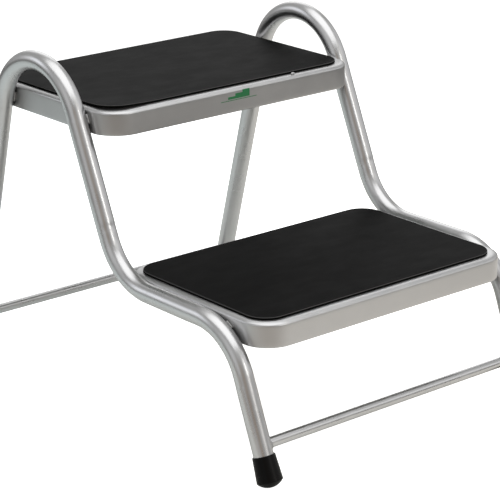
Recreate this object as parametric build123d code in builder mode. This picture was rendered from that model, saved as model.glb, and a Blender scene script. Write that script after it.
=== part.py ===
from build123d import *
import os
from math import cos, radians, sin, tan

# Two-tread step stool: a bent tube down each side, two pressed steel trays welded
# between the tubes, a rubber mat on each tray, two cross rods and four rubber feet.
# +Z is up, -Y is the front, the side tubes are mirror images about the YZ plane.
# The origin is on the floor, in the middle of the box around the stool.

# Side tubes
tube_diameter = 25.0
tube_wall = 1.5
bend_radius = 85.0          # one bending die makes the hand loop and both lower bends
stance = 641.0              # between the front and rear leg axes, at floor level
front_lean = 21.7           # each lean is in degrees from the vertical
riser_lean = 23.4
rear_lean = 15.3
run_height = 180.5          # axis of the short level run beside the lower tray
loop_height = 349.0         # centre of the hand loop

# Trays, the same pressing twice
tray_width = 414.0
tray_depth = 278.0
tray_height = 31.5
tray_corner = 40.0
tray_edge = 4.0             # rounding of the top edge
sheet = 1.2
tray_gap = 0.75             # clearance between a tray and each tube, bridged by the welds
upper_tray_top = 387.0
lower_tray_top = 190.5
upper_tray_y = 141.5
lower_tray_y = -154.0

# Mats
mat_side_inset = 10.5
mat_end_inset = 12.5         # at the front and the rear
mat_corner = 30.0
mat_thickness = 3.0
mat_edge = 1.2
glue_thickness = 0.3
glue_inset = 4.0            # the adhesive stops this far inside the mat

# Cross rods, each placed up its leg's axis from the floor and forward of that axis
rod_diameter = 13.4
front_rod_up_leg = 52.2
front_rod_forward = 0.0
rear_rod_up_leg = 47.1
rear_rod_forward = 5.5

# Feet: tapered rubber ferrules with a domed end, pressed flat where they meet the floor
foot_top_radius = 14.2
foot_base_radius = 16.2
foot_dome_radius = 21.0
foot_sleeve = 31.5          # from the widest ring up to the mouth
foot_squash = 0.5           # how far the dome is flattened by the floor
foot_edge = 0.8             # rounding of the widest ring and of the mouth
foot_plug = 4.5             # from the widest ring up to the end of the tube
washer_thickness = 1.5
washer_diameter = 24.6

# Welds
bead_radius = 2.2
bead_length = 15.0
bead_offset = 5.8           # from the line where tube and skirt are closest
rod_bead_radius = 1.7       # the rods are tacked on their front and rear
rod_bead_length = 8.0
knee_weld_angle = 115.0     # where the knee's bead lies on its bend, in degrees up from +Y
heel_weld_angle = -70.0     # and the heel's bead on its own

tube_radius = tube_diameter / 2
rod_radius = rod_diameter / 2
tube_x = tray_width / 2 + tray_gap + tube_radius

# The dome's centre is on the leg axis, one dome radius above the floor less the squash
dome_depth = (foot_dome_radius**2 - foot_base_radius**2) ** 0.5
dome_height = foot_dome_radius - foot_squash


def ring_up_leg(lean):
    """Distance up a leg's axis, from the floor, of the ferrule's widest ring"""
    return dome_height / cos(radians(lean)) - dome_depth


def reach(lean):
    """How far the widest ring stands out past the point where the axis meets the floor"""
    return foot_base_radius * cos(radians(lean)) - ring_up_leg(lean) * sin(radians(lean))


mid_shift = (reach(front_lean) - reach(rear_lean)) / 2
front_foot_y = mid_shift - stance / 2
rear_foot_y = mid_shift + stance / 2


def up_front_leg(distance):
    """Point (y, z) on the front leg's axis, a distance up from the floor"""
    lean = radians(front_lean)
    return front_foot_y + distance * sin(lean), distance * cos(lean)


def up_rear_leg(distance):
    """Point (y, z) on the rear leg's axis, a distance up from the floor"""
    lean = radians(rear_lean)
    return rear_foot_y - distance * sin(lean), distance * cos(lean)


# The hand loop is tangent to the rear leg and to the riser. Their lines cross at its apex,
# which lies on the bisector of the two tangent points, seen from the loop's centre.
loop_start_z = loop_height + bend_radius * sin(radians(rear_lean))
loop_start_y = up_rear_leg(loop_start_z / cos(radians(rear_lean)))[0]
loop_y = loop_start_y - bend_radius * cos(radians(rear_lean))
half_turn = radians(180 - riser_lean - rear_lean) / 2
bisector = half_turn + radians(rear_lean)
apex_distance = bend_radius / cos(half_turn)
apex = (loop_y + apex_distance * cos(bisector), loop_height + apex_distance * sin(bisector))


def riser_y(height):
    """Y of the riser's axis at a height"""
    return apex[0] - (apex[1] - height) * tan(radians(riser_lean))


riser_foot = (riser_y(run_height), run_height)
knee = up_front_leg(run_height / cos(radians(front_lean)))
rear_end = up_rear_leg(ring_up_leg(rear_lean) + foot_plug)
front_end = up_front_leg(ring_up_leg(front_lean) + foot_plug)

SIDES = {"left": -1, "right": 1}
LEGS = {"front": (front_lean, up_front_leg, 1), "rear": (rear_lean, up_rear_leg, -1)}


def across_leg(side, leg, distance):
    """Plane across a leg, a distance up its axis from the floor, with its Z up the leg"""
    lean, point_up_leg, inward = LEGS[leg]
    y, z = point_up_leg(distance)
    angle = radians(lean)
    origin = (SIDES[side] * tube_x, y, z)
    return Plane(origin=origin, x_dir=(1, 0, 0), z_dir=(0, inward * sin(angle), cos(angle)))


pieces = []

# Side tubes: one continuous bent tube each, from the rear foot over the hand loop, down the
# riser, along the lower tray and down the front leg
for side, sign in SIDES.items():
    with BuildPart() as side_tube:
        with BuildLine(Plane.YZ.offset(sign * tube_x)) as tube_axis:
            FilletPolyline(rear_end, apex, riser_foot, knee, front_end, radius=bend_radius)
        with BuildSketch(Plane(origin=tube_axis.line @ 0, z_dir=tube_axis.line % 0)):
            Circle(tube_radius)
            Circle(tube_radius - tube_wall, mode=Mode.SUBTRACT)
        sweep()
    side_tube.part.label = f"side_tube_{side}"
    pieces.append(side_tube.part)

# Trays, mats and the adhesive between them
TREADS = {"upper": (upper_tray_y, upper_tray_top), "lower": (lower_tray_y, lower_tray_top)}
for level, (tray_y, tray_top) in TREADS.items():
    with BuildPart() as tray:
        with BuildSketch(Plane((0, tray_y, tray_top - tray_height))):
            RectangleRounded(tray_width, tray_depth, tray_corner)
        extrude(amount=tray_height)
        fillet(tray.faces().sort_by(Axis.Z)[-1].edges(), radius=tray_edge)
        offset(amount=-sheet, openings=tray.faces().sort_by(Axis.Z)[0])
    tray.part.label = f"{level}_tray"
    pieces.append(tray.part)

    mat_width = tray_width - 2 * mat_side_inset
    mat_depth = tray_depth - 2 * mat_end_inset
    with BuildPart() as glue:
        with BuildSketch(Plane((0, tray_y, tray_top))):
            RectangleRounded(mat_width - 2 * glue_inset, mat_depth - 2 * glue_inset, mat_corner - glue_inset)
        extrude(amount=glue_thickness)
    glue.part.label = f"{level}_mat_adhesive"
    pieces.append(glue.part)

    with BuildPart() as mat:
        with BuildSketch(Plane((0, tray_y, tray_top + glue_thickness))):
            RectangleRounded(mat_width, mat_depth, mat_corner)
        extrude(amount=mat_thickness)
        fillet(mat.faces().sort_by(Axis.Z)[-1].edges(), radius=mat_edge)
    mat.part.label = f"{level}_mat"
    pieces.append(mat.part)

# Feet, each with a steel washer that keeps the tube from cutting through the rubber
for leg, (lean, _, _) in LEGS.items():
    for side in SIDES:
        ring = across_leg(side, leg, ring_up_leg(lean))
        with BuildPart() as foot:
            with BuildSketch(Plane(ring.origin, x_dir=ring.x_dir, z_dir=-ring.y_dir)) as profile:
                with BuildLine():
                    tip = (0, dome_depth - foot_dome_radius)
                    widest = (foot_base_radius, 0)
                    RadiusArc(tip, widest, -foot_dome_radius)
                    Polyline(
                        widest,
                        (foot_top_radius, foot_sleeve),
                        (tube_radius, foot_sleeve),
                        (tube_radius, foot_plug - washer_thickness),
                        (0, foot_plug - washer_thickness),
                        tip,
                    )
                make_face()
                fillet(profile.vertices().sort_by(Axis.X)[-2:], radius=foot_edge)
            revolve(axis=Axis(ring.origin, ring.z_dir))
            split(bisect_by=Plane.XY, keep=Keep.TOP)
        foot.part.label = f"foot_{leg}_{side}"
        pieces.append(foot.part)

        with BuildPart() as washer:
            with BuildSketch(ring.offset(foot_plug - washer_thickness)):
                Circle(washer_diameter / 2)
            extrude(amount=washer_thickness)
        washer.part.label = f"foot_washer_{leg}_{side}"
        pieces.append(washer.part)

# Cross rods, their ends shaped to sit against the inner sides of the legs, and the tacks
# that hold each end on its front and its rear
RODS = {"front": (front_rod_up_leg, front_rod_forward), "rear": (rear_rod_up_leg, rear_rod_forward)}
for leg, (up_leg, forward) in RODS.items():
    leg_planes = {side: across_leg(side, leg, up_leg) for side in SIDES}
    rod_start = leg_planes["left"].from_local_coords((0, -forward, 0))
    with BuildPart() as rod:
        with BuildSketch(Plane(origin=rod_start, z_dir=(1, 0, 0))):
            Circle(rod_radius)
        extrude(amount=2 * tube_x)
        for leg_plane in leg_planes.values():
            with BuildSketch(leg_plane):
                Circle(tube_radius)
            extrude(amount=tube_diameter, both=True, mode=Mode.SUBTRACT)
    rod.part.label = f"{leg}_cross_rod"

    with BuildPart() as rod_welds:
        for side, leg_plane in leg_planes.items():
            for across in (-forward - rod_radius, -forward + rod_radius):
                depth = (tube_radius**2 - across**2) ** 0.5
                tack = leg_plane.from_local_coords((-SIDES[side] * depth, across, 0))
                with BuildSketch(Plane(tack, x_dir=leg_plane.x_dir, z_dir=leg_plane.z_dir)):
                    Circle(rod_bead_radius)
                extrude(amount=rod_bead_length / 2, both=True)
        fillet(rod_welds.edges().filter_by(GeomType.CIRCLE), radius=0.9 * rod_bead_radius)
        for leg_plane in leg_planes.values():
            with BuildSketch(leg_plane):
                Circle(tube_radius)
            extrude(amount=tube_diameter, both=True, mode=Mode.SUBTRACT)
        add(rod.part, mode=Mode.SUBTRACT)
    rod_welds.part.label = f"{leg}_rod_welds"
    pieces += [rod.part, rod_welds.part]


def bead_plane(sign, centre, along, offset):
    """Plane across a weld bead, in the groove between a tube and a tray's side.

    centre is the (y, z) of the tube's axis, along is the tube's direction in degrees up from
    +Y, and offset is how far the bead lies to the left of that direction.
    """
    angle = radians(along)
    groove = tray_gap + tube_radius - (tube_radius**2 - offset**2) ** 0.5
    origin = (
        sign * (tray_width + groove) / 2,
        centre[0] - offset * sin(angle),
        centre[1] + offset * cos(angle),
    )
    return Plane(origin=origin, x_dir=(1, 0, 0), z_dir=(0, cos(angle), sin(angle)))


def on_bend(centre, angle):
    """Point (y, z) on a bend's axis, at an angle in degrees up from +Y"""
    return centre[0] + bend_radius * cos(radians(angle)), centre[1] + bend_radius * sin(radians(angle))


# Tray welds: a bead on both sides of each tube where it crosses the upper skirt, and one on
# the outside of each lower bend where it leaves the lower skirt
skirt_middle = upper_tray_top - tray_height / 2
riser_cross = (riser_y(skirt_middle), skirt_middle)
rear_cross = up_rear_leg(skirt_middle / cos(radians(rear_lean)))
knee_centre = (knee[0] + bend_radius * tan(radians(90 - front_lean) / 2), run_height - bend_radius)
heel_centre = (riser_foot[0] - bend_radius * tan(radians(90 - riser_lean) / 2), run_height + bend_radius)
BEADS = {
    "upper": [
        (riser_cross, 90 - riser_lean, bead_offset),
        (riser_cross, 90 - riser_lean, -bead_offset),
        (rear_cross, 90 + rear_lean, bead_offset),
        (rear_cross, 90 + rear_lean, -bead_offset),
    ],
    "lower": [
        (on_bend(knee_centre, knee_weld_angle), knee_weld_angle - 90, bead_offset),
        (on_bend(heel_centre, heel_weld_angle), heel_weld_angle + 90, -bead_offset),
    ],
}
for level, beads in BEADS.items():
    with BuildPart() as tray_welds:
        for sign in SIDES.values():
            for centre, along, offset_left in beads:
                with BuildSketch(bead_plane(sign, centre, along, offset_left)):
                    Circle(bead_radius)
                extrude(amount=bead_length / 2, both=True)
        fillet(tray_welds.edges().filter_by(GeomType.CIRCLE), radius=0.9 * bead_radius)
        for piece in pieces:
            if piece.label.startswith("side_tube") or piece.label == f"{level}_tray":
                add(piece, mode=Mode.SUBTRACT)
    tray_welds.part.label = f"{level}_tray_welds"
    pieces.append(tray_welds.part)

os.makedirs("parts", exist_ok=True)
for piece in pieces:
    export_step(piece, f"parts/{piece.label}.step")
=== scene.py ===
# %% [markdown]
# # A two-tread step stool in silver-coated steel
# The stool is a welded frame: one bent tube down each side, two pressed sheet trays between
# them, a black rubber mat on each tray, two thin rods near the floor and four rubber feet.
# This script remakes the pieces whose surface matters most as smooth numpy surfaces: the
# tubes, trays, mats and welds. The rods, feet and hidden pieces keep their CAD shape, and
# every piece gets the finish of the real one.

# %% Load the CAD frame
from math import cos, pi, radians, sin, tan

import bmesh
import bpy
import numpy as np
from mathutils import Matrix, Vector


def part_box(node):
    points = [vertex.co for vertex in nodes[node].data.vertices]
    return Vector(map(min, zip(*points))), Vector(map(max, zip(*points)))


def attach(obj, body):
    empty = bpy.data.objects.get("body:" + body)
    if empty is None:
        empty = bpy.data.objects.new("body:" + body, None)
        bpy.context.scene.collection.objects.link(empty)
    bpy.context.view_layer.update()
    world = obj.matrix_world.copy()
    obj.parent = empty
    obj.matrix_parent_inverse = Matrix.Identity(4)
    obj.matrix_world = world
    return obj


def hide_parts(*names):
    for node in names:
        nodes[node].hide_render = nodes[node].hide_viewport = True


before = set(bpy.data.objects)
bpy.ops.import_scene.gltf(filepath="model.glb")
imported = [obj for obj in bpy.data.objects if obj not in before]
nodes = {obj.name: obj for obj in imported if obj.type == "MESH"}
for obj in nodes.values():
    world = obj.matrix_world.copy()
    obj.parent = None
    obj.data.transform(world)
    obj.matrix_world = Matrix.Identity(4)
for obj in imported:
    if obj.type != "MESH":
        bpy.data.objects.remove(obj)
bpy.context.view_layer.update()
print("CAD nodes:", len(nodes))

# %% [markdown]
# ## Camera
# A long lens stands off to the front left, about 19 degrees above the floor. Blender would
# take a place and three angles, but an azimuth and an elevation around an aim point near the
# middle of the stool say what a person would: where to stand, how high, and how far away.

# %% Set up the camera
AZIMUTH = radians(-39.895)  # turned about Z from a view straight at the front
ELEVATION = radians(19.403)
ROLL = radians(-0.365)
DISTANCE = 2.8058
AIM = Vector((0.0055, -0.040, 0.1475))
FOCAL_LENGTH = 153.07
SENSOR = 36.0
SHIFT = (-0.0286, 0.0388)
FARTHEST_SEEN = 100

camera_data = bpy.data.cameras.new("camera")
camera_data.lens = FOCAL_LENGTH
camera_data.sensor_width = SENSOR
camera_data.shift_x, camera_data.shift_y = SHIFT
camera_data.clip_end = FARTHEST_SEEN
camera = bpy.data.objects.new("camera", camera_data)
bpy.context.scene.collection.objects.link(camera)
turn = (
    Matrix.Rotation(AZIMUTH, 4, "Z")
    @ Matrix.Rotation(pi / 2 - ELEVATION, 4, "X")
    @ Matrix.Rotation(ROLL, 4, "Z")
)
backwards = turn.to_3x3() @ Vector((0, 0, 1))
camera.matrix_world = Matrix.Translation(AIM + DISTANCE * backwards) @ turn
bpy.context.scene.camera = camera
bpy.context.scene.view_settings.view_transform = "Standard"
print("camera at", tuple(round(c, 3) for c in camera.matrix_world.translation))

# %% [markdown]
# ## Colours and nodes
# Colours are written as sRGB hex, as a paint chart gives them, but shaders work in linear
# light. One function converts them, and one more adds a node with its settings and links.

# %% Define the colour and node helpers
def linear(hex_colour):
    """sRGB hex to linear RGBA: each channel c in 0..1 is c/12.92 below 0.04045, and
    ((c + 0.055) / 1.055) to the power 2.4 above it."""
    channels = np.array([int(hex_colour[i : i + 2], 16) / 255 for i in (1, 3, 5)])
    low = channels / 12.92
    high = ((channels + 0.055) / 1.055) ** 2.4
    return (*np.where(channels <= 0.04045, low, high).tolist(), 1.0)


def add_node(tree, kind, inputs=None, **settings):
    """Adds a node: settings are its own properties, and inputs maps a socket's name or number
    to a value, or to another node's output, which is then linked. On a colour Mix node the
    two colours are inputs 6 and 7, and the mixed colour is output 2."""
    node = tree.nodes.new(kind)
    for name, value in settings.items():
        setattr(node, name, value)
    for name, value in (inputs or {}).items():
        if isinstance(value, bpy.types.NodeSocket):
            tree.links.new(value, node.inputs[name])
        else:
            node.inputs[name].default_value = value
    return node


def new_material(name):
    """A material with a Principled shader wired to its output; returns it, its tree and shader"""
    material = bpy.data.materials.new(name)
    material.use_nodes = True
    tree = material.node_tree
    return material, tree, tree.nodes["Principled BSDF"]


print("sRGB #808080 is", round(linear("#808080")[0], 3), "in linear light")

# %% [markdown]
# ## The room
# The stool stands on white paper in a small studio. A camera sees the backdrop as plain white,
# but the satin metal mirrors the room around it, and most of a studio is grey. Real lamps and
# walls could be modelled, but a mirror only needs their brightness in each direction. So the
# world is a soft grey with a soft-edged patch for each bright or dark thing in the room, and
# it turns white only for what the camera sees directly.

# %% Build the room that the metal mirrors
def direction(azimuth, elevation):
    """Unit vector at an azimuth in degrees from +X towards +Y, and an elevation above the floor"""
    a, e = radians(azimuth), radians(elevation)
    return (cos(a) * cos(e), sin(a) * cos(e), sin(e))


WHITE = linear("#ffffff")
ROOM_GREY = linear("#b4b4b3")
PANELS = {  # azimuth, elevation, half width, softness (all in degrees), colour, brightness
    "left wall": (-174, 20, 10, 24, "#ffffff", 0.8),
    "right wall": (-12, 20, 14, 22, "#ffffff", 0.8),
    "front right window": (-46, 27, 6, 14, "#ffffff", 1.15),
    "curtain": (-50, 6, 3, 8, "#f6f2ee", 0.12),
    "rear right window": (52, 24, 8, 18, "#ffffff", 1.7),
    "rear left window": (130, 20, 5, 14, "#f8faff", 1.8),
    "front wall": (-76, 24, 8, 20, "#fffcf6", 0.95),
    "doorway": (-131, 14, 7, 14, "#d3c0ae", 0.62),
}
world = bpy.data.worlds.new("studio")
bpy.context.scene.world = world
world.use_nodes = True
tree = world.node_tree
towards = add_node(tree, "ShaderNodeTexCoord").outputs["Generated"]
room = ROOM_GREY
for azimuth, elevation, half_width, softness, colour, brightness in PANELS.values():
    facing = add_node(tree, "ShaderNodeVectorMath", {0: towards, 1: direction(azimuth, elevation)},
                      operation="DOT_PRODUCT")
    angle = add_node(tree, "ShaderNodeMath", {0: facing.outputs["Value"]}, operation="ARCCOSINE")
    cover = add_node(tree, "ShaderNodeMapRange", {
        "Value": angle.outputs[0],
        "From Min": radians(half_width),
        "From Max": radians(half_width + softness),
        "To Min": 1.0,
        "To Max": 0.0,
    }, interpolation_type="SMOOTHSTEP")
    panel = tuple(brightness * channel for channel in linear(colour)[:3]) + (1.0,)
    room = add_node(tree, "ShaderNodeMix", {"Factor": cover.outputs[0], 6: room, 7: panel},
                    data_type="RGBA").outputs[2]
seen = add_node(tree, "ShaderNodeLightPath").outputs["Is Camera Ray"]
backdrop = add_node(tree, "ShaderNodeMix", {"Factor": seen, 6: room, 7: WHITE}, data_type="RGBA")
tree.links.new(backdrop.outputs[2], tree.nodes["Background"].inputs["Color"])
print("room panels:", ", ".join(PANELS))

# %% [markdown]
# ## The paper
# The floor is a roll of matt white paper, which the undersides of the metal mirror. One flat
# square is enough. Its fibres scatter light evenly, so it is rough and has no shine. Uneven
# light on it is painted into its colour: a cool tint for the light at the rear, a warm fade for
# the light at the front, painted shade near the doorway, and a darker grey further out, a
# painted falloff of the light. Each of these is one fade from the colour so far to the next.
# The camera alone sees the paper bleached to white.

# %% Lay the white paper
PAPER_HALF = 12.0
# Where the painted falloff of light is centred
PAINTED_FALLOFF_MIDDLE = (-0.35, 0.35, 0)
corners = [(x * PAPER_HALF, y * PAPER_HALF, 0) for x, y in ((-1, -1), (1, -1), (1, 1), (-1, 1))]
floor_mesh = bpy.data.meshes.new("floor")
floor_mesh.from_pydata(corners, [], [(0, 1, 2, 3)])
floor = bpy.data.objects.new("floor", floor_mesh)
bpy.context.scene.collection.objects.link(floor)

# The paper's base colour is tinted cool: painted cool light
PAPER_WITH_PAINTED_COOL_LIGHT = linear("#edf5f4")
PAINTED_LIGHT_FADES = [  # what is measured, from where or which way, start and end in metres, colour
    # Warm fade towards the front: painted warm light
    ("DOT_PRODUCT", direction(-50, 0), -0.7, 0.6, "#faf5ed"),
    # Darker fade towards the doorway: painted shade
    ("DOT_PRODUCT", direction(-130, 0), 0.45, 0.85, "#bfb4a9"),
    # Darker grey further out: painted falloff of the light
    ("DISTANCE", PAINTED_FALLOFF_MIDDLE, 1.3, 1.85, "#8c8b89"),
]
paper, tree, shader = new_material("white paper sweep")
place = add_node(tree, "ShaderNodeTexCoord").outputs["Object"]
shade = PAPER_WITH_PAINTED_COOL_LIGHT
for operation, reference, start, stop, colour in PAINTED_LIGHT_FADES:
    measured = add_node(tree, "ShaderNodeVectorMath", {0: place, 1: reference}, operation=operation)
    share = add_node(tree, "ShaderNodeMapRange", {
        "Value": measured.outputs["Value"],
        "From Min": start,
        "From Max": stop,
    })
    shade = add_node(tree, "ShaderNodeMix", {"Factor": share.outputs[0], 6: shade, 7: linear(colour)},
                     data_type="RGBA").outputs[2]
tree.links.new(shade, shader.inputs["Base Color"])
shader.inputs["Roughness"].default_value = 0.9
shader.inputs["Specular IOR Level"].default_value = 0.0
white_glow = add_node(tree, "ShaderNodeEmission", {"Color": WHITE, "Strength": 1.0})
bleached = add_node(tree, "ShaderNodeAddShader", {0: shader.outputs[0], 1: white_glow.outputs[0]})
seen = add_node(tree, "ShaderNodeLightPath").outputs["Is Camera Ray"]
either = add_node(tree, "ShaderNodeMixShader", {0: seen, 1: shader.outputs[0], 2: bleached.outputs[0]})
tree.links.new(either.outputs[0], tree.nodes["Material Output"].inputs["Surface"])
floor_mesh.materials.append(paper)
print("paper:", 2 * PAPER_HALF, "m square")

# %% [markdown]
# ## The lights
# A large soft box hangs overhead and lights the treads evenly, and a narrow strip at the front
# right draws the long thin highlights down the tubes. Area lights suit both, because their
# size sets how soft a highlight is, which a point light can't do.

# %% Hang the soft boxes
def soft_box(name, place, aim, size, power):
    """A white rectangular area light at place, facing aim, out of the camera's sight"""
    light = bpy.data.lights.new(name, "AREA")
    light.shape = "RECTANGLE"
    light.size, light.size_y = size
    light.energy = power
    lamp = bpy.data.objects.new(name, light)
    bpy.context.scene.collection.objects.link(lamp)
    lamp.visible_camera = False
    facing = Vector(aim) - Vector(place)
    lamp.matrix_world = Matrix.Translation(place) @ facing.to_track_quat("-Z", "Y").to_matrix().to_4x4()


STOOL_MIDDLE = (0, 0, 0.2)
soft_box("front strip", (0.45, -2.6, 1.4), STOOL_MIDDLE, (0.5, 0.85), 5)
soft_box("overhead box", (-0.1, -0.35, 2.2), (-0.1, -0.35, 0), (2.6, 2.6), 29)

# %% [markdown]
# ## Surfaces from grids of points
# Every new piece is a grid of points: its rows follow the piece and its columns go round it.
# Joining each point to its neighbours makes the faces, and merging the doubled points closes
# the seams and the poles. The same grid can also carry, at each point, where that point would
# be if the piece were straight, so that a lengthwise pattern can follow the bends.

# %% Define the grid mesher
def grid_piece(name, grids, stands_for, straightened=None):
    """One mesh from closed grids of shape (rows, columns, 3): point (i, j) is joined to
    (i + 1, j), (i + 1, j + 1) and (i, j + 1), columns wrap round, and rows stay open unless
    the first and last of them coincide or shrink to a point."""
    points, faces, start = [], [], 0
    for grid in grids:
        rows, columns = grid.shape[:2]
        i, j = np.meshgrid(np.arange(rows - 1), np.arange(columns), indexing="ij")
        across = (j + 1) % columns
        corners = (i * columns + j, i * columns + across, (i + 1) * columns + across, (i + 1) * columns + j)
        faces.append(np.stack(corners, axis=-1).reshape(-1, 4) + start)
        points.append(grid.reshape(-1, 3))
        start += rows * columns
    mesh = bpy.data.meshes.new(name)
    mesh.from_pydata(np.concatenate(points).tolist(), [], np.concatenate(faces).tolist())
    if straightened is not None:
        layer = mesh.attributes.new("straightened", "FLOAT_VECTOR", "POINT")
        layer.data.foreach_set("vector", straightened.reshape(-1).astype(np.float32))
    closed = bmesh.new()
    closed.from_mesh(mesh)
    bmesh.ops.remove_doubles(closed, verts=closed.verts, dist=1e-6)
    bmesh.ops.recalc_face_normals(closed, faces=closed.faces)
    open_edges = sum(not edge.is_manifold for edge in closed.edges)
    closed.to_mesh(mesh)
    closed.free()
    mesh.polygons.foreach_set("use_smooth", np.ones(len(mesh.polygons), bool))
    piece = bpy.data.objects.new(name, mesh)
    bpy.context.scene.collection.objects.link(piece)
    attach(piece, "root")
    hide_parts(*stands_for)
    print(f"{name}: {len(mesh.polygons)} faces, {open_edges} open edges")
    return piece


def smooth_step(x):
    """0 below 0, 1 above 1, and 3x^2 - 2x^3 between"""
    x = np.clip(x, 0, 1)
    return x * x * (3 - 2 * x)


print("smooth step at 0, a quarter, a half and 1:", smooth_step(np.array([0, 0.25, 0.5, 1])))

# %% [markdown]
# ## The side tubes
# Each side of the real stool is one length of 25 mm steel tube, cold bent on one die. A tube
# is a circle carried along a path, so the path comes first: straight runs joined by arcs of
# the die's radius. Along such a path the heading is constant on a run and turns evenly on an
# arc, so the heading is drawn against distance and the place is its running sum.

# %% Lay out the path of the tube
MM = 0.001
TUBE_RADIUS = 12.5 * MM
TUBE_WALL = 1.5 * MM
BEND_RADIUS = 85 * MM
STANCE = 641 * MM
FOOT_SHIFT = -0.85414 * MM  # the middle between the feet, where each axis meets the floor
FRONT_LEAN, RISER_LEAN, REAR_LEAN = radians(21.7), radians(23.4), radians(15.3)
RUN_HEIGHT = 180.5 * MM
LOOP_HEIGHT = 349 * MM
TUBE_END_HEIGHTS = (11.951 * MM, 12.265 * MM)  # rear and front, inside the feet


def rear_leg_y(height):
    """Y of the rear leg's axis: it leans forwards as it rises"""
    return FOOT_SHIFT + STANCE / 2 - height * tan(REAR_LEAN)


def front_leg_y(height):
    """Y of the front leg's axis: it leans backwards as it rises"""
    return FOOT_SHIFT - STANCE / 2 + height * tan(FRONT_LEAN)


loop_y = rear_leg_y(LOOP_HEIGHT + BEND_RADIUS * sin(REAR_LEAN)) - BEND_RADIUS * cos(REAR_LEAN)
half_loop = (pi - RISER_LEAN - REAR_LEAN) / 2
apex_y = loop_y + BEND_RADIUS / cos(half_loop) * cos(half_loop + REAR_LEAN)
apex_z = LOOP_HEIGHT + BEND_RADIUS / cos(half_loop) * sin(half_loop + REAR_LEAN)


def riser_y(height):
    """Y of the riser's axis: it runs down and forwards from the apex of the hand loop"""
    return apex_y - (apex_z - height) * tan(RISER_LEAN)


rear_end, front_end = TUBE_END_HEIGHTS
PATH_CORNERS = np.array([
    (rear_leg_y(rear_end), rear_end),
    (apex_y, apex_z),
    (riser_y(RUN_HEIGHT), RUN_HEIGHT),
    (front_leg_y(RUN_HEIGHT), RUN_HEIGHT),
    (front_leg_y(front_end), front_end),
])


def bent_path(corners, radius):
    """Heading against distance for straight runs joined by arcs: each arc takes
    radius x tan(turn / 2) from the two runs beside it and is radius x turn long. Returns the
    distances where the heading starts or stops turning, and the heading at each."""
    legs = np.diff(corners, axis=0)
    lengths = np.hypot(*legs.T)
    headings = np.unwrap(np.arctan2(legs[:, 1], legs[:, 0]))
    turns = np.diff(headings)
    taken = radius * np.tan(np.abs(turns) / 2)
    runs = lengths - np.append(0, taken) - np.append(taken, 0)
    arcs = radius * np.abs(turns)
    knots = np.cumsum(np.stack([runs, np.append(arcs, 0)], axis=1).reshape(-1))[:-1]
    return np.append(0, knots), np.repeat(headings, 2)


PATH_SAMPLES = 8001
knots, knot_headings = bent_path(PATH_CORNERS, BEND_RADIUS)
fine = np.linspace(0, knots[-1], PATH_SAMPLES)
fine_heading = np.interp(fine, knots, knot_headings)
steps = np.stack([np.cos(fine_heading), np.sin(fine_heading)], axis=1)
middles = (steps[1:] + steps[:-1]) / 2 * np.diff(fine)[:, None]
fine_place = PATH_CORNERS[0] + np.concatenate([np.zeros((1, 2)), np.cumsum(middles, axis=0)])
print(f"tube length {knots[-1]:.3f} m, end misses its corner by "
      f"{np.hypot(*(fine_place[-1] - PATH_CORNERS[-1])) * 1e6:.1f} micrometres")

# %% [markdown]
# ## The marks of bending
# Cold bending leaves its marks. Inside a bend the tube takes a shallow print where the die
# begins to grip, the part held in the die is drawn a little thinner, and outside the bend the
# section flattens. Most are a tenth or two of a millimetre, yet on a satin surface the long
# highlights break at them, and that tells the eye that this is bent tube. A curve with a round
# bevel would be simpler, but it can't change its section, so the circles are worked out here.

# %% Place the rows of circles
ROW_SPACING = 4 * MM
GRIP_LENGTH = 14 * MM  # how far the die reaches along the straight tube beside a bend
PRINT_ROWS = np.linspace(-14, 14, 29) * MM  # closer rows, a millimetre apart, round each print
bend_edges = knots[1:-1]
bends = bend_edges.reshape(-1, 2)
print_places = bend_edges + np.tile([-GRIP_LENGTH, GRIP_LENGTH], len(bends))
near_prints = print_places[:, None] + PRINT_ROWS
even_rows = np.arange(0, knots[-1], ROW_SPACING)
rows = np.unique(np.concatenate([even_rows, near_prints.reshape(-1), [knots[-1]]]))
heading = np.interp(rows, knots, knot_headings)
middle = np.stack([np.interp(rows, fine, fine_place[:, k]) for k in (0, 1)], axis=1)
turn_way = np.sign(np.diff(knot_headings.reshape(-1, 2)[:, 0]))
print(len(rows), "circles along each tube, past", len(bends), "bends")

# %% Sweep the side tubes
TUBE_COLUMNS = 64
BEND_FLATTENING = 0.35 * MM
BEND_RAMP = 12 * MM  # over which the flattening builds up
PRINT_LENGTH = 4.5 * MM
PRINT_STEP = 0.18 * MM
# Depth at the start and end of the hand loop, of the heel and of the knee: the heel's is deep
GRIP_PRINTS = np.array([0.06, 0.06, 0.6, 0.08, 0.08, 0.06]) * MM
INNER_EVERY = 4  # the wall inside the tube is hidden, so it has a quarter of the rows
tube_low, tube_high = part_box("side_tube_left")
tube_x = abs(tube_low[0] + tube_high[0]) / 2


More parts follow.
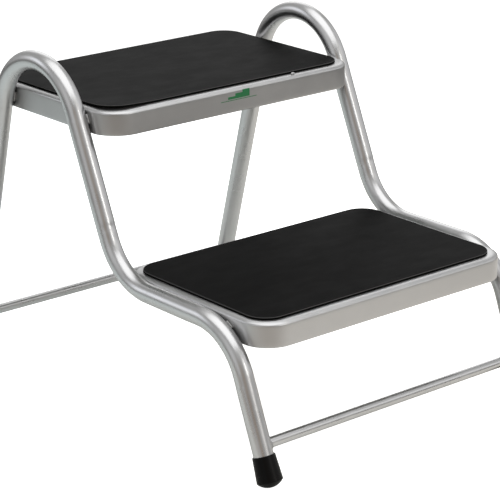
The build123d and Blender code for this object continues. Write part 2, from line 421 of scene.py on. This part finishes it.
def side_tube(sign):
    """Rows of circles across the path: middle + r (cos t X + sin t N), with N the path's left
    normal. r is the tube's radius, less the flattening x sin^2 t on the outside of each bend,
    less a small step all round but there, as far as the die reaches, and less a print
    depth x exp(-(d / length)^2) x sin^1.5 t on the inside, at distance d from where it grips."""
    around = np.linspace(0, 2 * pi, TUBE_COLUMNS, endpoint=False)
    radius = np.full((len(rows), TUBE_COLUMNS), TUBE_RADIUS)
    for bend, (way, (start, stop)) in enumerate(zip(turn_way, bends)):
        inside = np.clip(way * np.sin(around), 0, 1) ** 1.5
        outside = np.clip(-way * np.sin(around), 0, 1) ** 2
        held = smooth_step((rows - start) / BEND_RAMP) * smooth_step((stop - rows) / BEND_RAMP)
        radius -= BEND_FLATTENING * held[:, None] * outside
        grip = print_places[2 * bend : 2 * bend + 2]
        gripped = smooth_step((rows - grip[0]) / PRINT_LENGTH) * smooth_step((grip[1] - rows) / PRINT_LENGTH)
        radius -= PRINT_STEP * gripped[:, None] * (1 - outside)
        for edge, depth in zip(grip, GRIP_PRINTS[2 * bend : 2 * bend + 2]):
            bell = np.exp(-(((rows - edge) / PRINT_LENGTH) ** 2))
            radius -= depth * bell[:, None] * inside
    normal = np.stack([-np.sin(heading), np.cos(heading)], axis=1)

    def ring_rows(radii):
        x = sign * tube_x + radii * np.cos(around)
        offset = radii * np.sin(around)
        y = middle[:, None, 0] + offset * normal[:, None, 0]
        z = middle[:, None, 1] + offset * normal[:, None, 1]
        return np.stack([x, y, z], axis=-1)

    outer, inner = ring_rows(radius), ring_rows(radius - TUBE_WALL)
    coarse = np.append(np.arange(len(rows) - 1, 0, -INNER_EVERY), 0)
    grid = np.concatenate([outer, inner[coarse], outer[:1]])
    distance = np.concatenate([rows, rows[coarse], rows[:1]])
    straight = np.stack(np.broadcast_arrays(
        distance[:, None], TUBE_RADIUS * np.cos(around), TUBE_RADIUS * np.sin(around)), axis=-1)
    return grid, straight


tubes = []
for side, sign in (("left", -1), ("right", 1)):
    grid, straight = side_tube(sign)
    tubes.append(grid_piece(f"bent_tube_{side}", [grid], [f"side_tube_{side}"], straight))

# %% [markdown]
# ## One outline for trays and mats
# Trays and mats are rectangles with round corners, and their section is the same all the way
# round. A cube with a Bevel modifier would do for one section, but these have different
# curves at the top and bottom. So the section is carried along the outline. Moving a point of
# it inwards makes the outline smaller by the same amount on every side, and shrinks its
# corner radius with it.

# %% Define the outline and the section carrier
POLE_STEPS = 5  # rings between the section's ends and the middle of the plate


def rounded_outline(half_x, half_y, corner, inset, corner_steps, edge_steps):
    """Points round a rectangle with quarter-circle corners, moved inwards by inset: each
    corner's centre plus (corner - inset) x (cos a, sin a), with straight rows of points
    between them. The shape of inset is (rows,), and the result's is (rows, points, 2)."""
    turn_angles = np.linspace(0, pi / 2, corner_steps)
    centres = np.array([(1, 1), (-1, 1), (-1, -1), (1, -1)]) * (half_x - corner, half_y - corner)
    angles = (turn_angles + np.arange(4)[:, None] * pi / 2).reshape(-1)
    middles = np.repeat(centres, corner_steps, axis=0)
    radius = np.maximum(corner - inset, 0)[:, None]
    beyond = np.maximum(inset - corner, 0)[:, None]
    pull = np.sign(middles) * beyond[..., None]
    ring = middles - pull + np.stack([radius * np.cos(angles), radius * np.sin(angles)], axis=-1)
    following = np.roll(ring, -1, axis=1)
    share = np.linspace(0, 1, edge_steps, endpoint=False)
    pieces = []
    for k in range(4):
        last = (k + 1) * corner_steps - 1
        pieces.append(ring[:, k * corner_steps : last])
        pieces.append(ring[:, last, None] + share[:, None] * (following[:, last, None] - ring[:, last, None]))
    return np.concatenate(pieces, axis=1)


def carry_section(section, centre, half_x, half_y, corner, corner_steps=13, edge_steps=24):
    """The section's (inset, height) points carried round the outline; both ends of the
    section run on to the middle of the plate, where the rows close in a point."""
    inset, height = section.T
    ring = rounded_outline(half_x, half_y, corner, inset, corner_steps, edge_steps)
    z = np.broadcast_to(height[:, None], ring.shape[:2])
    grid = np.concatenate([ring + centre, z[..., None]], axis=-1)
    shrink = np.linspace(1, 0, POLE_STEPS + 1)[1:, None, None]
    pole_top, pole_bottom = (np.array([*centre, h]) for h in (height[0], height[-1]))
    top = pole_top + (grid[0] - pole_top) * shrink[::-1]
    bottom = pole_bottom + (grid[-1] - pole_bottom) * shrink
    return np.concatenate([top, grid, bottom])


print("points round one outline:", rounded_outline(1, 1, 0.1, np.zeros(1), 13, 24).shape[1])

# %% [markdown]
# ## The trays
# A tray is a pressing: sheet steel drawn over a block, which rounds the top edge in one soft
# curve, and trimmed along the bottom, where the raw edge is turned in so that it can't cut.
# Both trays come from the same tool. On the upper one the coat ran thick in one spot of the
# front edge and dried as a small drop, which is an ellipsoid sunk into the shoulder.

# %% Press the trays
TRAY_CORNER = 40 * MM
SHEET = 1.2 * MM
SHOULDER = (8.6 * MM, 4.4 * MM)  # how far the rounded top edge reaches inwards and down
HEM_RADIUS = 1.1 * MM
LIP_RISE = 6 * MM  # from the bottom to the top of the turned-in edge
LIP_TAPER = 0.8 * MM
SKIRT_ROWS = 6
TRAY_FLAT = np.array([44, 24, 14]) * MM  # insets of the rows on the flat top


def tray_section(top, bottom):
    """(inset, height) from the flat top to the underside: a quarter of an ellipse for the
    shoulder, a straight skirt, a half circle for the turned-in hem, and back up inside."""
    t = np.linspace(0, pi / 2, 14)
    reach, drop = SHOULDER
    shoulder = np.stack([reach * (1 - np.sin(t)), top - drop * (1 - np.cos(t))], axis=1)
    flat = np.stack([TRAY_FLAT, np.full(len(TRAY_FLAT), top)], axis=1)
    h = np.linspace(0, pi, 11)
    hem = np.stack([HEM_RADIUS * (1 - np.cos(h)), bottom + HEM_RADIUS * (1 - np.sin(h))], axis=1)
    heights = np.linspace(top - drop, bottom + HEM_RADIUS, SKIRT_ROWS + 2)[1:-1]
    skirt = np.stack([np.zeros(SKIRT_ROWS), heights], axis=1)
    lip_top = bottom + LIP_RISE
    lip = np.array([[2 * HEM_RADIUS, lip_top], [SHEET, lip_top + LIP_TAPER]])
    inner_drop = (drop - SHEET) * (1 - np.cos(t))
    inner = np.stack([reach + (SHEET - reach) * np.sin(t), top - SHEET - inner_drop], axis=1)
    return np.concatenate([flat, shoulder, skirt, hem, lip, inner[::-1], flat[::-1] - (0, SHEET)])


def round_blob(middle, size, columns=20, rows=13):
    """middle + size x (sin v cos u, sin v sin u, cos v): an ellipsoid"""
    v = np.linspace(0, pi, rows)[:, None]
    u = np.linspace(0, 2 * pi, columns, endpoint=False)
    ball = np.stack(np.broadcast_arrays(np.sin(v) * np.cos(u), np.sin(v) * np.sin(u), np.cos(v)), axis=-1)
    return np.array(middle) + np.array(size) * ball


COAT_DROP = ((98.5 * MM, 9.8 * MM, 388.2 * MM), (3.4 * MM, 1.3 * MM, 1.6 * MM))  # place, half sizes
trays = {}
for level in ("upper", "lower"):
    low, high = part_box(f"{level}_tray")
    centre = ((low[0] + high[0]) / 2, (low[1] + high[1]) / 2)
    half_x, half_y = (high[0] - low[0]) / 2, (high[1] - low[1]) / 2
    grid = carry_section(tray_section(high[2], low[2]), centre, half_x, half_y, TRAY_CORNER)
    grids = [grid, round_blob(*COAT_DROP)] if level == "upper" else [grid]
    trays[level] = grid_piece(f"pressed_{level}_tray", grids, [f"{level}_tray"])

# %% [markdown]
# ## The mats
# Each mat is a sheet of black rubber about 3 mm thick, die cut and stuck down by hand. Its
# top edge is softly rounded and catches a thin line of light, its cut side is dark, and on
# the upper tread the glue has let go of one front corner, which stands up a little. A cloth
# simulation could lift the corner, but a bell-shaped bump on the grid is exact and repeats.

# %% Cut and lay the mats
MAT_CORNER = 30 * MM
MAT_EDGE = 1.3 * MM
MAT_BEVEL = 0.2 * MM
MAT_FLAT = np.array([60, 40, 30, 24, 19, 16, 12, 9, 7, 5.5, 4, 3, 2.2]) * MM  # insets of the rows
LAID_OFF = 2.0 * MM  # to the left of the tray's middle, as laid by hand
LIFT_PLACE = (-190 * MM, 20 * MM)
LIFT_HEIGHT = 2.3 * MM
LIFT_REACH = 42 * MM
WAVE_HEIGHT = 0.08 * MM
WAVE_X, WAVE_Y = 61 * MM, 47 * MM  # distances over which the wave's angle turns by one radian


def mat_section(top, bottom):
    """(inset, height) from the top to the underside: a quarter circle at the top edge, a
    straight cut side, and a tiny bevel at the bottom."""
    t = np.linspace(0, pi / 2, 9)
    edge = np.stack([MAT_EDGE * (1 - np.sin(t)), top - MAT_EDGE * (1 - np.cos(t))], axis=1)
    flat = np.stack([MAT_FLAT, np.full(len(MAT_FLAT), top)], axis=1)
    halfway = (top - MAT_EDGE + bottom) / 2
    side = np.array([[0, halfway], [0, bottom + MAT_BEVEL], [MAT_BEVEL, bottom]])
    return np.concatenate([flat, edge, side, (flat + (0, bottom - top))[::-1]])


def settle(grid, lift):
    """Adds to each height a long low wave, sin(x / a) sin(y / b), as of a sheet stuck by hand,
    and lift x exp(-(d / reach)^2) at distance d from the loose corner."""
    x, y = grid[..., 0], grid[..., 1]
    wave = WAVE_HEIGHT * np.sin(x / WAVE_X + 0.7) * np.sin(y / WAVE_Y + 0.3)
    away = np.hypot(x - LIFT_PLACE[0], y - LIFT_PLACE[1]) / LIFT_REACH
    raised = grid.copy()
    raised[..., 2] += wave + WAVE_HEIGHT + lift * np.exp(-(away**2))
    return raised


mats = []
for level, lift in (("upper", LIFT_HEIGHT), ("lower", 0.0)):
    low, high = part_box(f"{level}_mat")
    centre = ((low[0] + high[0]) / 2 - LAID_OFF, (low[1] + high[1]) / 2)
    half_x, half_y = (high[0] - low[0]) / 2, (high[1] - low[1]) / 2
    grid = carry_section(mat_section(high[2], low[2]), centre, half_x, half_y, MAT_CORNER, 17, 48)
    mats.append(grid_piece(f"{level}_rubber_mat", [settle(grid, lift)], [f"{level}_mat"]))

# %% [markdown]
# ## The welds
# A hand-laid weld is a row of small overlapping pools: a bead with regular ripples that bow
# forwards in the middle, and rounded ends. Silver coat lies over it. Each bead is a circle
# carried along a short line, with a radius that swells, ripples and closes at both ends.

# %% Define a weld bead
RIPPLE_SPACING = 1.4 * MM
RIPPLE_DEPTH = 0.10  # of the bead's radius
RIPPLE_BOW = 0.3  # of the spacing


def weld_bead(start, end, radius, columns=20, rows=64):
    """start + s (end - start) + r (cos a U + sin a V), where r = radius x (1 - |2s - 1|^5)^0.5
    x (1 + depth x cos(2 pi (distance / spacing + bow x cos a))): a round-ended, rippled bead"""
    start, end = np.array(start), np.array(end)
    length = np.linalg.norm(end - start)
    along = (end - start) / length
    u = np.cross(along, (1.0, 0.0, 0.0))
    u /= np.linalg.norm(u)
    v = np.cross(along, u)
    s = (1 - np.cos(np.linspace(0, pi, rows))) / 2
    a = np.linspace(0, 2 * pi, columns, endpoint=False)
    swell = np.sqrt(np.clip(1 - np.abs(2 * s - 1) ** 5, 0, 1))[:, None]
    phase = s[:, None] * length / RIPPLE_SPACING + RIPPLE_BOW * np.cos(a)
    r = radius * swell * (1 + RIPPLE_DEPTH * np.cos(2 * pi * phase))
    ring = np.cos(a)[None, :, None] * u + np.sin(a)[None, :, None] * v
    return start + s[:, None, None] * (end - start) + r[..., None] * ring


print("ripples along a 13 mm bead:", round(13 * MM / RIPPLE_SPACING, 1))

# %% Weld the trays to the tubes
BEAD_RADIUS = 2.1 * MM
BEAD_LENGTH = 13 * MM
BEAD_OFFSET = 5.8 * MM  # from the line where tube and skirt are closest
TRAY_GAP = 0.75 * MM
tray_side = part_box("upper_tray")[1][0]
groove_x = tray_side + (TRAY_GAP + TUBE_RADIUS - (TUBE_RADIUS**2 - BEAD_OFFSET**2) ** 0.5) / 2


def groove_bead(sign, place, heading_angle, offset):
    """A bead in the groove between tube and skirt, at a place (y, z) on the tube's axis and
    moved offset to the left of the tube's heading"""
    ahead = np.array([cos(heading_angle), sin(heading_angle)])
    left = np.array([-ahead[1], ahead[0]])
    bead_middle = np.array(place) + offset * left
    ends = (bead_middle - ahead * BEAD_LENGTH / 2, bead_middle + ahead * BEAD_LENGTH / 2)
    return weld_bead(*((sign * groove_x, y, z) for y, z in ends), BEAD_RADIUS)


def on_bend(centre, angle):
    """Point (y, z) on a bend's axis, at an angle up from +Y"""
    return centre[0] + BEND_RADIUS * cos(angle), centre[1] + BEND_RADIUS * sin(angle)


low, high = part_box("upper_tray")
skirt_z = (low[2] + high[2]) / 2
knee_y = front_leg_y(RUN_HEIGHT) + BEND_RADIUS * tan((pi / 2 - FRONT_LEAN) / 2)
heel_y = riser_y(RUN_HEIGHT) - BEND_RADIUS * tan((pi / 2 - RISER_LEAN) / 2)
KNEE_ANGLE, HEEL_ANGLE = radians(115), radians(-70)
knee_place = on_bend((knee_y, RUN_HEIGHT - BEND_RADIUS), KNEE_ANGLE)
heel_place = on_bend((heel_y, RUN_HEIGHT + BEND_RADIUS), HEEL_ANGLE)
upper_beads, lower_beads = [], []
for sign in (-1, 1):
    for offset in (BEAD_OFFSET, -BEAD_OFFSET):
        upper_beads.append(groove_bead(sign, (riser_y(skirt_z), skirt_z), pi / 2 - RISER_LEAN, offset))
        upper_beads.append(groove_bead(sign, (rear_leg_y(skirt_z), skirt_z), pi / 2 + REAR_LEAN, offset))
    lower_beads.append(groove_bead(sign, knee_place, KNEE_ANGLE - pi / 2, BEAD_OFFSET))
    lower_beads.append(groove_bead(sign, heel_place, HEEL_ANGLE + pi / 2, -BEAD_OFFSET))
welds = [
    grid_piece("upper_tray_beads", upper_beads, ["upper_tray_welds"]),
    grid_piece("lower_tray_beads", lower_beads, ["lower_tray_welds"]),
]

# %% [markdown]
# ## The rods' tacks
# Each rod's end is held by two short tacks, one on its front and one on its rear. They run up
# the leg where the rod's side meets it, so each is the same bead, shorter and thinner, turned
# to the leg's lean and sunk to the depth at which a line beside the rod meets the round tube.

# %% Tack the cross rods
TACK_RADIUS = 1.8 * MM
TACK_LENGTH = 9 * MM
LEG_LINES = {"front": (front_leg_y, tan(FRONT_LEAN)), "rear": (rear_leg_y, -tan(REAR_LEAN))}
for leg, (leg_y, lean_way) in LEG_LINES.items():
    low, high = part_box(f"{leg}_cross_rod")
    rod_z, rod_y, rod_radius = (low[2] + high[2]) / 2, (low[1] + high[1]) / 2, (high[2] - low[2]) / 2
    half_tack = np.array([0, lean_way, 1]) / np.hypot(lean_way, 1) * TACK_LENGTH / 2
    tacks = []
    for side in (-1, 1):
        for across in (-rod_radius, rod_radius):
            y = rod_y + across
            depth = max(TUBE_RADIUS**2 - (y - leg_y(rod_z)) ** 2, 0) ** 0.5
            tack_middle = np.array([side * (tube_x - depth), y, rod_z])
            tacks.append(weld_bead(tack_middle - half_tack, tack_middle + half_tack, TACK_RADIUS))
    welds.append(grid_piece(f"{leg}_rod_tacks", tacks, [f"{leg}_rod_welds"]))

# %% [markdown]
# ## Silver coat
# The steel is sprayed with a silver coat: fine aluminium flakes in a clear binder. It mirrors
# the room softly, like metal, and the clear skin over it adds a sharper, weaker reflection.
# Sprayed coats dry with a faint orange peel of low bumps 1 to 2 mm across. The steel below was
# polished, lengthwise on the tubes and upright on the skirts, and those fine lines stretch
# the highlights along them. On the sheet, faces that look down get a darker grey: painted shade.

# %% Define the silver coat
DRIFT_SIZE = 30 * MM  # over which the coat's grey and its gloss drift
GLOSS_DRIFT = 0.03
# A darker grey painted on faces that look down, as shade
PAINTED_UNDERSIDE_SHADE = linear("#868684")
# Real polishing lines are about a tenth of a millimetre apart, too fine to show here, so both
# are drawn roughly ten times coarser: spacing along X, Y and Z, long in the lines' direction
TUBE_LINES = (120 * MM, 1.1 * MM, 1.1 * MM)
SHEET_LINES = (1.6 * MM, 1.6 * MM, 50 * MM)


def silver_coat(name, colours, roughness, peel_size, peel_depth, line_depth, follows_bends=False,
                shade_below=False):
    """Silver flake coat: its grey drifts between two colours, and its bump is a noise of
    peel_size metres plus lines line_depth deep, which run along the straightened length of a
    bent piece or else upright. With the last flag set, faces that look down get a darker grey:
    painted shade."""
    material, tree, shader = new_material(name)
    if follows_bends:
        place = add_node(tree, "ShaderNodeAttribute", attribute_name="straightened").outputs["Vector"]
    else:
        place = add_node(tree, "ShaderNodeTexCoord").outputs["Object"]
    drift = add_node(tree, "ShaderNodeTexNoise", {"Vector": place, "Scale": 1 / DRIFT_SIZE, "Detail": 3.0})
    shade = add_node(tree, "ShaderNodeMix", {
        "Factor": drift.outputs[0],
        6: linear(colours[0]),
        7: linear(colours[1]),
    }, data_type="RGBA")
    # Painted shade: faces that look down are mixed towards a darker grey
    if shade_below:
        normal = add_node(tree, "ShaderNodeTexCoord").outputs["Normal"]
        downwards = add_node(tree, "ShaderNodeVectorMath", {0: normal, 1: (0, 0, -1)},
                             operation="DOT_PRODUCT")
        below = add_node(tree, "ShaderNodeMapRange", {
            "Value": downwards.outputs["Value"],
            "From Min": 0.6,
            "From Max": 0.9,
        })
        shade = add_node(tree, "ShaderNodeMix", {
            "Factor": below.outputs[0],
            6: shade.outputs[2],
            7: PAINTED_UNDERSIDE_SHADE,
        }, data_type="RGBA")
    tree.links.new(shade.outputs[2], shader.inputs["Base Color"])
    gloss = add_node(tree, "ShaderNodeMapRange", {
        "Value": drift.outputs[0],
        "From Min": 0.3,
        "From Max": 0.7,
        "To Min": roughness - GLOSS_DRIFT,
        "To Max": roughness + GLOSS_DRIFT,
    })
    tree.links.new(gloss.outputs[0], shader.inputs["Roughness"])
    peel = add_node(tree, "ShaderNodeTexNoise", {"Vector": place, "Scale": 1 / peel_size, "Detail": 2.0})
    bumps = add_node(tree, "ShaderNodeBump", {
        "Height": peel.outputs[0],
        "Strength": 1.0,
        "Distance": peel_depth,
    })
    per_metre = tuple(1 / spacing for spacing in (TUBE_LINES if follows_bends else SHEET_LINES))
    stretched = add_node(tree, "ShaderNodeMapping", {"Vector": place, "Scale": per_metre})
    lines = add_node(tree, "ShaderNodeTexNoise", {
        "Vector": stretched.outputs[0],
        "Scale": 1.0,
        "Detail": 2.0,
    })
    lined = add_node(tree, "ShaderNodeBump", {
        "Height": lines.outputs[0],
        "Normal": bumps.outputs[0],
        "Strength": 1.0,
        "Distance": line_depth,
    })
    tree.links.new(lined.outputs[0], shader.inputs["Normal"])
    shader.inputs["Metallic"].default_value = 1.0
    shader.inputs["Coat Weight"].default_value = 0.1
    shader.inputs["Coat Roughness"].default_value = 0.16
    return material


print("polishing lines drawn", round(TUBE_LINES[1] / MM, 1), "mm apart on tubes")

# %% Mix the silver coats
# Polished tube is the smoothest; drawn rod shows no lines; a weld is lumpy, and its darker grey
# is painted shade of the groove it lies in; pressed sheet has a rougher skin, which spreads its
# highlights into an even sheen
tube_coat = silver_coat("silver coat on polished tube", ("#bebebf", "#c8c8c8"), 0.29,
                        1.8 * MM, 0.004 * MM, 0.003 * MM, follows_bends=True)
rod_coat = silver_coat("silver coat on drawn rod", ("#c2c2c3", "#cccccc"), 0.28,
                       1.8 * MM, 0.001 * MM, 0.0)
# The weld's darker grey is painted shade of the grooves and joints where the welds lie
weld_coat_with_painted_shade = silver_coat("silver coat on weld with painted shade", ("#8c8c8c", "#a2a2a1"), 0.28,
                        0.9 * MM, 0.02 * MM, 0.0)
sheet_coat = silver_coat("silver coat on pressed sheet", ("#bbbbbc", "#c7c7c7"), 0.38,
                         1.8 * MM, 0.004 * MM, 0.006 * MM, shade_below=True)
marked_coat = silver_coat("silver coat with printed steps", ("#b7b7b8", "#c3c3c3"), 0.38,
                          1.8 * MM, 0.004 * MM, 0.008 * MM, shade_below=True)
print("silver coats:", sum("silver coat" in material.name for material in bpy.data.materials))

# %% [markdown]
# ## The printed sign
# The front skirt of the upper tray carries a small sign in green ink: three rising steps above
# a thin rule. An image could hold it, but the shape is simple enough for a sum: a point is on
# the steps where its height is below ceil(distance along / tread) x rise. Each row of the
# table is one Math node, which takes numbers or the names of earlier rows. Ink lies over the
# flakes and hides them, so where there is ink the coat is no longer metal.

# %% Print the steps
PRINT_GREEN = linear("#1f7a46")
PRINT_LEFT, PRINT_FOOT = -18 * MM, 373.6 * MM  # where the lowest printed step begins
TREAD, RISE = 12 * MM, 3.4 * MM
HALF_THE_STEPS = 1.5
RULE_HALF_LENGTH, RULE_HALF_HEIGHT = 30 * MM, 0.45 * MM
RULE_HEIGHT = -1.6 * MM  # below the foot of the steps
SKIRT_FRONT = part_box("upper_tray")[0][1]
SIGN = [
    ("from left", "SUBTRACT", "x", PRINT_LEFT),
    ("along", "DIVIDE", "from left", TREAD),
    ("height", "SUBTRACT", "z", PRINT_FOOT),
    ("step number", "CEIL", "along"),
    ("step top", "MULTIPLY", "step number", RISE),
    ("under top", "LESS_THAN", "height", "step top"),
    ("above foot", "GREATER_THAN", "height", 0.0),
    ("in height", "MULTIPLY", "under top", "above foot"),
    ("in length", "COMPARE", "along", HALF_THE_STEPS, HALF_THE_STEPS),
    ("steps", "MULTIPLY", "in height", "in length"),
    ("rule height", "COMPARE", "height", RULE_HEIGHT, RULE_HALF_HEIGHT),
    ("rule length", "COMPARE", "x", 0.0, RULE_HALF_LENGTH),
    ("rule", "MULTIPLY", "rule height", "rule length"),
    ("marks", "MAXIMUM", "steps", "rule"),
    ("on front", "LESS_THAN", "y", SKIRT_FRONT + 0.5 * MM),
    ("ink", "MULTIPLY", "marks", "on front"),
    ("bare", "SUBTRACT", 1.0, "ink"),
]
tree = marked_coat.node_tree
shader = tree.nodes["Principled BSDF"]
place = add_node(tree, "ShaderNodeTexCoord").outputs["Object"]
results = dict(zip("xyz", add_node(tree, "ShaderNodeSeparateXYZ", {0: place}).outputs))
for name, operation, *values in SIGN:
    inputs = {number: results.get(value, value) for number, value in enumerate(values)}
    results[name] = add_node(tree, "ShaderNodeMath", inputs, operation=operation).outputs[0]
silver = shader.inputs["Base Color"].links[0].from_socket
inked = add_node(tree, "ShaderNodeMix", {"Factor": results["ink"], 6: silver, 7: PRINT_GREEN},
                 data_type="RGBA")
tree.links.new(inked.outputs[2], shader.inputs["Base Color"])
tree.links.new(results["bare"], shader.inputs["Metallic"])
print("sign:", len(SIGN), "sums")

# %% [markdown]
# ## Rubber
# The mats are vulcanised rubber sheet: nearly black, with a matt skin that scatters what
# little it reflects, a grain of about 1 mm and faint streaks. Their rounded upper edges get a
# paler grey, a painted highlight. The feet are moulded from the same kind of rubber in a
# polished mould, so they shine more, and get the same painted highlight. Both come from one
# function, and only their numbers differ.

# %% Mix the rubbers
STREAK_SIZE = 20 * MM


def black_rubber(name, colours, roughness, specular, grain, grain_depth, streak_stretch, edge_highlight_colour):
    """Rubber whose grey drifts in streaks, with a grain of the given size in metres. Rounded
    upper edges, where the surface leans by 15 to 70 degrees, get a paler grey: a painted highlight."""
    material, tree, shader = new_material(name)
    place = add_node(tree, "ShaderNodeTexCoord").outputs["Object"]
    stretched = add_node(tree, "ShaderNodeMapping", {"Vector": place, "Scale": streak_stretch})
    streaks = add_node(tree, "ShaderNodeTexNoise", {
        "Vector": stretched.outputs[0],
        "Scale": 1 / STREAK_SIZE,
        "Detail": 5.0,
        "Roughness": 0.6,
    })
    shade = add_node(tree, "ShaderNodeMix", {
        "Factor": streaks.outputs[0],
        6: linear(colours[0]),
        7: linear(colours[1]),
    }, data_type="RGBA")
    # Painted highlight: rounded upper edges are mixed towards a paler grey
    normal = add_node(tree, "ShaderNodeTexCoord").outputs["Normal"]
    height = add_node(tree, "ShaderNodeSeparateXYZ", {0: normal}).outputs["Z"]
    leaning = add_node(tree, "ShaderNodeMapRange", {"Value": height, "From Min": 0.96, "From Max": 0.85})
    upright = add_node(tree, "ShaderNodeMapRange", {"Value": height, "From Min": 0.25, "From Max": 0.5})
    painted_edge_highlight = add_node(tree, "ShaderNodeMath", {0: leaning.outputs[0], 1: upright.outputs[0]},
                      operation="MULTIPLY")
    shade = add_node(tree, "ShaderNodeMix", {
        "Factor": painted_edge_highlight.outputs[0],
        6: shade.outputs[2],
        7: linear(edge_highlight_colour),
    }, data_type="RGBA")
    tree.links.new(shade.outputs[2], shader.inputs["Base Color"])
    gloss = add_node(tree, "ShaderNodeMapRange", {
        "Value": streaks.outputs[0],
        "From Min": 0.35,
        "From Max": 0.65,
        "To Min": roughness + 0.02,
        "To Max": roughness - 0.02,
    })
    tree.links.new(gloss.outputs[0], shader.inputs["Roughness"])
    pores = add_node(tree, "ShaderNodeTexNoise", {"Vector": place, "Scale": 1 / grain, "Detail": 3.0})
    bump = add_node(tree, "ShaderNodeBump", {
        "Height": pores.outputs[0],
        "Strength": 1.0,
        "Distance": grain_depth,
    })
    tree.links.new(bump.outputs[0], shader.inputs["Normal"])
    shader.inputs["Specular IOR Level"].default_value = specular
    return material


# The last colour of each rubber is its painted edge highlight
mat_rubber = black_rubber("black rubber sheet", ("#020202", "#070707"), 0.60, 0.037,
                          1.1 * MM, 0.04 * MM, (0.5, 1.0, 1.0), "#4a4a4a")
foot_rubber = black_rubber("moulded black rubber", ("#030303", "#060505"), 0.28, 0.10,
                           0.8 * MM, 0.01 * MM, (1.0, 1.0, 1.0), "#141313")
print("rubbers:", mat_rubber.name, "and", foot_rubber.name)

# %% [markdown]
# ## Hidden pieces
# The tape under the mats and the washers in the feet hardly show, but they are real pieces.
# The tape is a dull grey foam. The washers are stamped steel with a thin bright zinc plating.
# A Voronoi pattern divides each into cells, which suits both foam and crystals of metal.

# %% Mix the tape and the zinc
HIDDEN_FINISHES = {  # cell size, what is read from it, two colours, roughness, metallic
    # Real foam cells are a few tenths of a millimetre, drawn coarser so that they show
    "grey mounting tape": (1.5 * MM, "Distance", "#4a4a48", "#5c5b58", 0.8, 0.0),
    # Zinc's own crystals are far finer than this too
    "zinc-plated steel": (4 * MM, "Color", "#a9adb0", "#c3c6c6", 0.35, 1.0),
}
hidden = {}
for name, (cell_size, reading, dark, pale, roughness, metallic) in HIDDEN_FINISHES.items():
    hidden[name], tree, shader = new_material(name)
    place = add_node(tree, "ShaderNodeTexCoord").outputs["Object"]
    cells = add_node(tree, "ShaderNodeTexVoronoi", {"Vector": place, "Scale": 1 / cell_size})
    shade = add_node(tree, "ShaderNodeMix", {
        "Factor": cells.outputs[reading],
        6: linear(dark),
        7: linear(pale),
    }, data_type="RGBA")
    tree.links.new(shade.outputs[2], shader.inputs["Base Color"])
    shader.inputs["Roughness"].default_value = roughness
    shader.inputs["Metallic"].default_value = metallic
print("hidden finishes:", ", ".join(hidden))

# %% [markdown]
# ## Dressing the pieces
# Every piece wears one finish. The CAD nodes come with a plain material of their own, so the
# list is cleared first. A table of finishes and their wearers shows at a glance what is what.

# %% Put each finish on its pieces
LEG_NAMES = [f"{leg}_{side}" for leg in ("front", "rear") for side in ("left", "right")]
finishes = [
    (tube_coat, tubes),
    (weld_coat_with_painted_shade, welds),
    (sheet_coat, [trays["lower"]]),
    (marked_coat, [trays["upper"]]),
    (mat_rubber, mats),
    (rod_coat, [nodes["front_cross_rod"], nodes["rear_cross_rod"]]),
    (foot_rubber, [nodes[f"foot_{leg}"] for leg in LEG_NAMES]),
    (hidden["zinc-plated steel"], [nodes[f"foot_washer_{leg}"] for leg in LEG_NAMES]),
    (hidden["grey mounting tape"], [nodes["upper_mat_adhesive"], nodes["lower_mat_adhesive"]]),
]
for finish, wearers in finishes:
    for piece in wearers:
        piece.data.materials.clear()
        piece.data.materials.append(finish)
print("pieces dressed:", sum(len(wearers) for finish, wearers in finishes))
